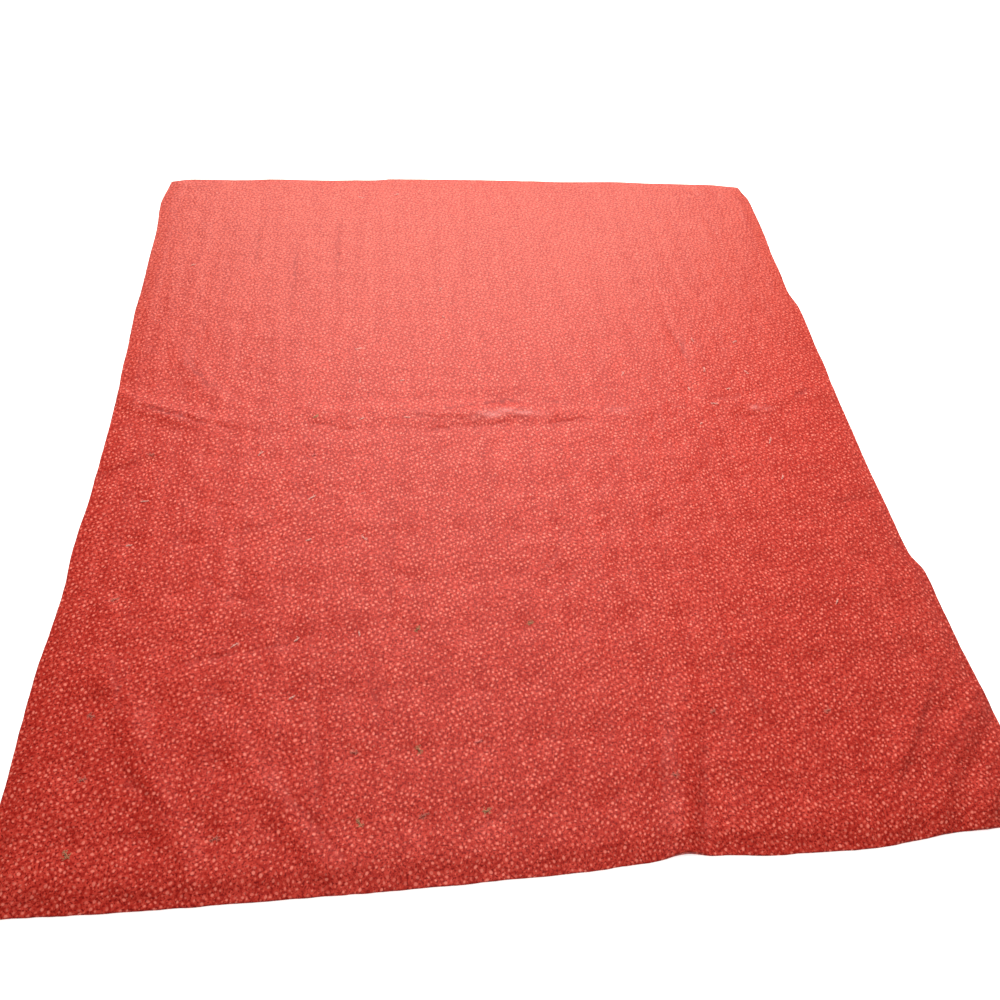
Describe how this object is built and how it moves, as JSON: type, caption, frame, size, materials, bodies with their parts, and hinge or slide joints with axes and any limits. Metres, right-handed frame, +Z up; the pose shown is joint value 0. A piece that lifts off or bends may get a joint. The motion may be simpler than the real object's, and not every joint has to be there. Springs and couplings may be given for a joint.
{
  "type": "patchwork quilt",
  "caption": "Tied cotton quilt laid out flat, printed side up, with puffed squares, a soft ridge across the middle and loose knotted thread ties.",
  "frame": {"origin": "on the surface the quilt lies on, under the middle of its outline", "axes": "+Z up, +Y along the quilt's length, away from the viewer of the picture, +X across its width"},
  "size_m": [1.856, 2.055, 0.0151],
  "materials": {
    "printed_cotton": "matt cotton, red with an all-over print of small coral dots",
    "white_thread": "matt cotton thread",
    "pink_thread": "matt cotton thread",
    "green_thread": "matt cotton thread",
    "grey_thread": "matt cotton thread"
  },
  "bodies": {
    "root": {"quilt_cloth": "printed_cotton", "tie_green_01": "green_thread", "tie_green_02": "green_thread", "tie_green_03": "green_thread", "tie_green_04": "green_thread", "tie_green_05": "green_thread", "tie_green_06": "green_thread", "tie_green_07": "green_thread", "tie_grey_01": "grey_thread", "tie_grey_02": "grey_thread", "tie_grey_03": "grey_thread", "tie_grey_04": "grey_thread", "tie_grey_05": "grey_thread", "tie_grey_06": "grey_thread", "tie_grey_07": "grey_thread", "tie_grey_08": "grey_thread", "tie_grey_09": "grey_thread", "tie_grey_10": "grey_thread", "tie_pink_01": "pink_thread", "tie_pink_02": "pink_thread", "tie_pink_03": "pink_thread", "tie_white_01": "white_thread", "tie_white_02": "white_thread", "tie_white_03": "white_thread", "tie_white_04": "white_thread", "tie_white_05": "white_thread", "tie_white_06": "white_thread", "tie_white_07": "white_thread", "tie_white_08": "white_thread", "tie_white_09": "white_thread", "tie_white_10": "white_thread", "tie_white_11": "white_thread", "tie_white_12": "white_thread", "tie_white_13": "white_thread", "tie_white_14": "white_thread", "tie_white_15": "white_thread", "tie_white_16": "white_thread", "tie_white_17": "white_thread", "tie_white_18": "white_thread", "tie_white_19": "white_thread", "tie_white_20": "white_thread", "tie_white_21": "white_thread", "tie_white_22": "white_thread", "tie_white_23": "white_thread", "tie_white_24": "white_thread", "tie_white_25": "white_thread", "tie_white_26": "white_thread", "tie_white_27": "white_thread", "tie_white_28": "white_thread", "tie_white_29": "white_thread", "tie_white_30": "white_thread", "tie_white_31": "white_thread", "tie_white_32": "white_thread"}
  },
  "joints": []
}
